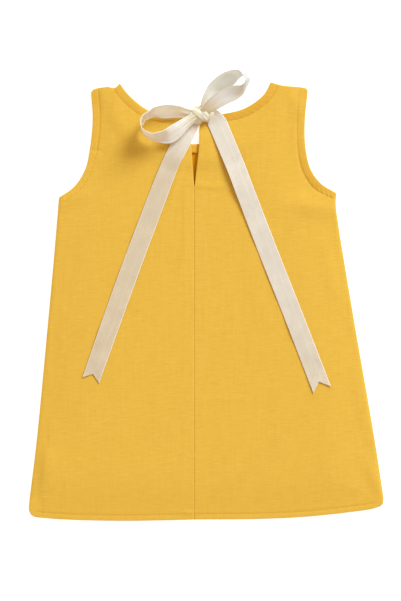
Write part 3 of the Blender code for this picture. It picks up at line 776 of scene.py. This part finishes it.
# The loops and the knot use copies of the one satin whose face, deeper and edge colours are set for the light
# each lies in: painted light and shade.
satin_of_left_loop = satin_material(
    "cream_satin_of_left_loop_painted_light", face=seen_as(252, 248, 239, KEY_LEVEL),
    deeper_painted_shade=seen_as(208, 196, 174, KEY_LEVEL), warmer_painted_bounce=PAINTED_WARM_BOUNCE, edge=seen_as(255, 252, 246, KEY_LEVEL),
    through=0.0017, clear=0.75)
satin_of_right_loop = satin_material(
    "cream_satin_of_right_loop_painted_light", face=seen_as(243, 243, 238, KEY_LEVEL),
    deeper_painted_shade=seen_as(172, 166, 152, KEY_LEVEL), warmer_painted_bounce=PAINTED_WARM_BOUNCE, edge=seen_as(216, 210, 195, KEY_LEVEL),
    through=0.0017, clear=0.75)


def swept(middle):
    """The way a line of points runs, and the level and the upright direction across it."""
    way = np.gradient(middle, axis=0)
    way /= np.linalg.norm(way, axis=1)[:, None]
    side = np.column_stack([way[:, 1], -way[:, 0], np.zeros(len(way))])
    side /= np.linalg.norm(side, axis=1)[:, None]
    return way, side, np.cross(side, way)


def ribbon(name, node, stations, tones, satin, curl, notch):
    """A ribbon swept along its stations, gathered into small folds where it is narrower than its weave."""
    rows = smooth(stations, RIBBON_STEP, sized=3)
    tones = np.array(tones).T
    on_cloth = satin is satin_on_cloth
    if on_cloth:
        rows[:, 2] += lie_of_back(rows[:, :2])
    middle, lean, width, cup = rows[:, :3], rows[:, 3, None], rows[:, 4, None], rows[:, 5, None]
    way, side, up = swept(middle)
    width_way = np.cos(np.radians(lean)) * side + np.sin(np.radians(lean)) * up
    face_way = -np.sin(np.radians(lean)) * side + np.cos(np.radians(lean)) * up
    run = np.concatenate([[0.0], np.cumsum(np.linalg.norm(np.diff(middle, axis=0), axis=1))])
    s = np.linspace(-1.0, 1.0, RIBBON_STRIPS + 1)
    gathered = 1.0 - width / RIBBON_WIDTH
    fold = sum(strength * np.cos(waves * math.pi * s + begin) for waves, begin, strength in FOLDS)
    out = cup * (1.0 - s ** 2) + GATHER_FOLD * gathered * fold * (1.0 - 0.3 * s ** 2)
    out = out + TWIST * np.sin(run / TWIST_LENGTH)[:, None] * s
    out = out + RIPPLE * np.sin(run / RIPPLE_LENGTH + 1.0)[:, None]
    outward = np.tanh((TURNS_AT - lean) / TURN_FADE) * np.clip((LIES_FLAT_AT - lean) / FLAT_FADE, 0.0, 1.0)
    out = out + curl * outward * np.clip((-s - CURL_FROM) / (1.0 - CURL_FROM), 0.0, 1.0) ** 2
    points = (middle[:, None] + width_way[:, None] * (s[:, None] * width[:, :, None] / 2)
              + face_way[:, None] * out[:, :, None])
    back = notch * (1.0 - np.abs(s)) * np.clip(1.0 - (run[-1] - run) / NOTCH_REACH, 0.0, 1.0)[:, None]
    points = points - way[:, None] * back[:, :, None]
    count = RIBBON_STRIPS + 1
    faces = [(i * count + k, i * count + k + 1, (i + 1) * count + k + 1, (i + 1) * count + k)
             for i in range(len(rows) - 1) for k in range(RIBBON_STRIPS)]
    piece = make_mesh(name, points.reshape(-1, 3), faces, {
        "along": np.repeat(run, count), "across": np.tile(s * RIBBON_WIDTH / 2, len(rows)),
        "deeper_painted_shade": np.repeat(np.interp(run, tones[0], tones[1]), count),
        "warmer_painted_bounce": np.repeat(np.interp(run, tones[0], tones[2]), count)})
    thicken = piece.modifiers.new("thickness", "SOLIDIFY")
    thicken.thickness = RIBBON_WALL * 0.001
    thicken.offset = 0.0
    piece.data.materials.append(satin)
    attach(piece, "root")
    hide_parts(node)


# Columns: run from the knot, share of the deeper colour (painted shade), share of the warmer one (painted
# light).
TAIL_LEFT_TONES = [(0, 0.0, 0.0), (30, 0.1, 0.0), (55, 0.9, 0.0), (300, 1.0, 0.0)]
TAIL_RIGHT_TONES = [(0, 0.0, 0.0), (200, 0.1, 0.0), (260, 0.45, 0.0), (300, 0.5, 0.0)]
LOOP_LEFT_TONES = [
    (0, 0.6, 0.4), (22, 0.5, 0.1), (34, 0.32, 0.0), (50, 0.32, 0.05), (56, 0.5, 0.35), (64, 0.5, 0.5),
    (72, 0.2, 0.2), (80, 0.3, 0.15), (92, 0.2, 0.1), (100, 0.05, 0.1), (118, 0.05, 0.2), (124, 0.45, 0.4),
    (132, 0.7, 0.6),
]
LOOP_RIGHT_TONES = [
    (0, 0.5, 0.8), (12, 0.25, 0.55), (20, 0.05, 0.25), (28, 0.0, 0.05), (38, 0.05, 0.0), (46, 0.3, 0.0),
    (52, 0.75, 0.0), (55, 1.0, 0.0), (58, 1.0, 0.0), (61, 0.85, 0.0), (67, 0.85, 0.0), (70, 0.5, 0.0),
    (74, 0.3, 0.0), (82, 0.34, 0.0), (90, 0.45, 0.0), (100, 0.55, 0.0), (112, 0.45, 0.03), (122, 0.45, 0.3),
    (132, 0.5, 0.7),
]
ribbon("left_tail", "bow_tail_left", TAIL_LEFT, TAIL_LEFT_TONES, satin_on_cloth,
       curl=0.0, notch=7.0)
ribbon("right_tail", "bow_tail_right", TAIL_RIGHT, TAIL_RIGHT_TONES, satin_on_cloth,
       curl=0.0, notch=9.0)
ribbon("left_loop", "bow_loop_left", LOOP_LEFT, LOOP_LEFT_TONES, satin_of_left_loop,
       curl=LEFT_CURL, notch=0.0)
ribbon("right_loop", "bow_loop_right", LOOP_RIGHT, LOOP_RIGHT_TONES, satin_of_right_loop,
       curl=0.0, notch=0.0)


# ------------------------------------------------------------------ knot
# The same ribbon drawn tight into a small wad. Its turns show as a few soft rolls: a broad one across the
# front on the slant, others beside and under it, each tucked in beneath its neighbour.

WAD_PLACE, WAD_HALF = (6.9, 405.6, 8.6), (8.6, 6.2, 4.4)
WAD_TURN = -20.0
WAD_SIDES, WAD_RINGS = 72, 36
ROLL_SIDES, ROLL_STEP = 40, 0.35
PLEATS, PLEAT_DEPTH = 7, 0.035          # fine pleats round a roll, and their depth as a share of its size

# Columns of a roll: across, up, height of its middle, half width, half thickness.
ROLLS = {
    "slant": [(-3.6, 411.8, 8.2, 1.3, 0.9), (-0.8, 409.9, 10.6, 3.0, 1.3), (3.6, 406.8, 11.8, 3.7, 1.5),
              (8.2, 403.6, 11.4, 3.5, 1.5), (11.4, 401.4, 9.2, 2.2, 1.1), (12.6, 400.4, 7.6, 1.0, 0.8)],
    "front": [(3.4, 412.4, 9.4, 1.6, 1.0), (7.2, 410.2, 11.2, 2.7, 1.3), (10.4, 406.6, 11.8, 3.0, 1.4),
              (11.8, 403.0, 10.4, 2.4, 1.2), (11.4, 400.4, 8.4, 1.2, 0.8)],
    "right": [(8.2, 413.4, 8.6, 1.4, 0.9), (13.4, 411.6, 10.2, 2.6, 1.3), (16.4, 407.8, 10.2, 2.7, 1.4),
              (14.6, 403.6, 9.4, 2.4, 1.2), (11.8, 400.8, 7.6, 1.3, 0.9)],
    "left": [(-4.4, 411.0, 8.2, 1.4, 0.9), (-3.0, 407.2, 10.0, 2.6, 1.3), (-1.2, 403.0, 9.9, 2.8, 1.4),
             (1.6, 399.6, 8.8, 2.5, 1.2), (4.0, 397.2, 6.8, 1.3, 0.9)],
    "under": [(1.2, 405.6, 9.8, 1.8, 1.1), (3.4, 402.6, 10.2, 2.7, 1.2), (5.2, 399.6, 8.9, 2.6, 1.2),
              (5.8, 397.4, 6.8, 1.3, 0.9)],
    "top": [(-2.6, 411.9, 8.2, 1.1, 0.8), (3.0, 412.8, 9.6, 2.0, 1.0), (9.4, 412.4, 10.0, 2.0, 1.1),
            (15.0, 411.8, 9.2, 1.8, 1.0), (19.0, 410.4, 7.2, 1.1, 0.8)],
}


def roll_of_ribbon(stations, number):
    """A soft roll of ribbon along its stations, with fine pleats along it: its points and faces."""
    rows = smooth(stations, ROLL_STEP, sized=3)
    middle = rows[:, :3]
    _, side, up = swept(middle)
    angle = np.linspace(0.0, 2 * math.pi, ROLL_SIDES, endpoint=False)
    run = np.arange(len(rows)) * ROLL_STEP
    pleats = 1.0 + PLEAT_DEPTH * np.cos(PLEATS * angle + number + 0.25 * np.sin(run / 2.1)[:, None])
    points = (middle[:, None]
              + side[:, None] * (rows[:, 3, None] * np.cos(angle) * pleats)[:, :, None]
              + up[:, None] * (rows[:, 4, None] * np.sin(angle) * pleats)[:, :, None])
    count = len(rows)
    faces = [(i * ROLL_SIDES + k, (i + 1) * ROLL_SIDES + k, (i + 1) * ROLL_SIDES + (k + 1) % ROLL_SIDES,
              i * ROLL_SIDES + (k + 1) % ROLL_SIDES) for i in range(count - 1) for k in range(ROLL_SIDES)]
    faces.append(tuple(range(ROLL_SIDES)))
    faces.append(tuple(reversed(range((count - 1) * ROLL_SIDES, count * ROLL_SIDES))))
    return points.reshape(-1, 3), faces, np.repeat(run, ROLL_SIDES), np.tile(angle * 3.0 - 9.0, count)


def wad_of_ribbon():
    """The core that the rolls lie on: its points and faces."""
    around = np.linspace(0.0, 2 * math.pi, WAD_SIDES, endpoint=False)
    tilt = np.linspace(-0.49 * math.pi, 0.49 * math.pi, WAD_RINGS)[:, None]
    x, y, z = np.cos(tilt) * np.cos(around), np.cos(tilt) * np.sin(around), np.sin(tilt) + 0 * around
    swell = 1.0 + 0.06 * np.cos(5 * x + 7 * y)
    x, y, z = x * WAD_HALF[0] * swell, y * WAD_HALF[1] * swell, z * WAD_HALF[2] * swell
    c, s = math.cos(math.radians(WAD_TURN)), math.sin(math.radians(WAD_TURN))
    points = np.stack([x * c - y * s, x * s + y * c, z], axis=-1) + WAD_PLACE
    along = np.tile(around * 8.0, WAD_RINGS)
    across = np.repeat(np.linspace(-8.0, 8.0, WAD_RINGS), WAD_SIDES)
    return points.reshape(-1, 3), tube_faces(WAD_RINGS, WAD_SIDES), along, across


knot_points, knot_faces, knot_along, knot_across = wad_of_ribbon()
for number, stations in enumerate(ROLLS.values()):
    points, faces, along, across = roll_of_ribbon(stations, number)
    knot_faces += [tuple(i + len(knot_points) for i in face) for face in faces]
    knot_points = np.vstack([knot_points, points])
    knot_along, knot_across = np.append(knot_along, along), np.append(knot_across, across)
# The whole knot takes a little of the warmer colour: painted bounce light.
knot = make_mesh("knot_rolls", knot_points, knot_faces, {
    "along": knot_along, "across": knot_across, "deeper_painted_shade": np.zeros(len(knot_points)),
    "warmer_painted_bounce": np.full(len(knot_points), 0.15)})
# The knot's copy is yellower than the rest of the ribbon: painted bounce light from the cloth.
satin_in_knot = satin_material(
    "cream_satin_in_knot_painted_light", face=seen_as(254, 242, 214, KEY_LEVEL), deeper_painted_shade=seen_as(226, 207, 176, KEY_LEVEL),
    warmer_painted_bounce=PAINTED_WARM_BOUNCE, edge=seen_as(254, 246, 228, KEY_LEVEL), through=0.0015, clear=0.35)
knot.data.materials.append(satin_in_knot)
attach(knot, "root")
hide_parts("bow_knot")


# ------------------------------------------------------------------ studio
# A white table seen from straight above, with a soft key light from the top and a little to the right, and
# an even white fill from all round.

TABLE_SIZE, TABLE_GLOW = 4.0, 0.55
VIEW_CENTRE = (-0.0059, -0.0044)
VIEW_HEIGHT, VIEW_SPAN = 2.4, 0.601     # the camera above the cloth, and the length that it sees there
CLOTH_LEVEL = 0.003                     # about how high the back's outer face lies
KEY_FROM = (0.60, 0.80)
KEY_RISE = 33.0
KEY_REACH, KEY_WIDTH = 12.0, 5.66
KEY_POWER = 1455.0
KEY_TINT = (0.84, 1.016, 1.15)
FILL = 0.58
FILL_TINT = (1.15, 0.985, 0.86)

table = bpy.data.meshes.new("table")
half = TABLE_SIZE / 2
corners = [(-half, -half, 0), (half, -half, 0), (half, half, 0), (-half, half, 0)]
table.from_pydata(corners, [], [(0, 1, 2, 3)])
floor = bpy.data.objects.new("table", table)
bpy.context.scene.collection.objects.link(floor)
table_white, *_ = new_material(
    "table_white", Base_Color=(0.93, 0.93, 0.93, 1.0), Roughness=0.9, Specular_IOR_Level=0.1,
    Emission_Color=(1.0, 1.0, 1.0, 1.0), Emission_Strength=TABLE_GLOW)
floor.data.materials.append(table_white)

key = bpy.data.lights.new("key", "AREA")
key.shape = "DISK"
key.size = KEY_WIDTH
key.energy = KEY_POWER
key.color = KEY_TINT
key_light = bpy.data.objects.new("key", key)
rise = math.radians(KEY_RISE)
key_way = Vector((KEY_FROM[0] * math.cos(rise), KEY_FROM[1] * math.cos(rise), math.sin(rise)))
key_light.location = key_way * KEY_REACH
key_light.rotation_euler = key_way.to_track_quat("Z", "Y").to_euler()
bpy.context.scene.collection.objects.link(key_light)

world = bpy.data.worlds.new("fill")
world.use_nodes = True
world.node_tree.nodes["Background"].inputs["Color"].default_value = (*FILL_TINT, 1.0)
world.node_tree.nodes["Background"].inputs["Strength"].default_value = FILL
bpy.context.scene.world = world

view = bpy.data.cameras.new("camera")
view.sensor_fit = "VERTICAL"
view.sensor_height = 36.0
view.lens = 36.0 * VIEW_HEIGHT / VIEW_SPAN
view.clip_end = 20.0
camera = bpy.data.objects.new("camera", view)
camera.location = (*VIEW_CENTRE, VIEW_HEIGHT + CLOTH_LEVEL)
bpy.context.scene.collection.objects.link(camera)
bpy.context.scene.camera = camera
bpy.context.scene.view_settings.view_transform = "Standard"
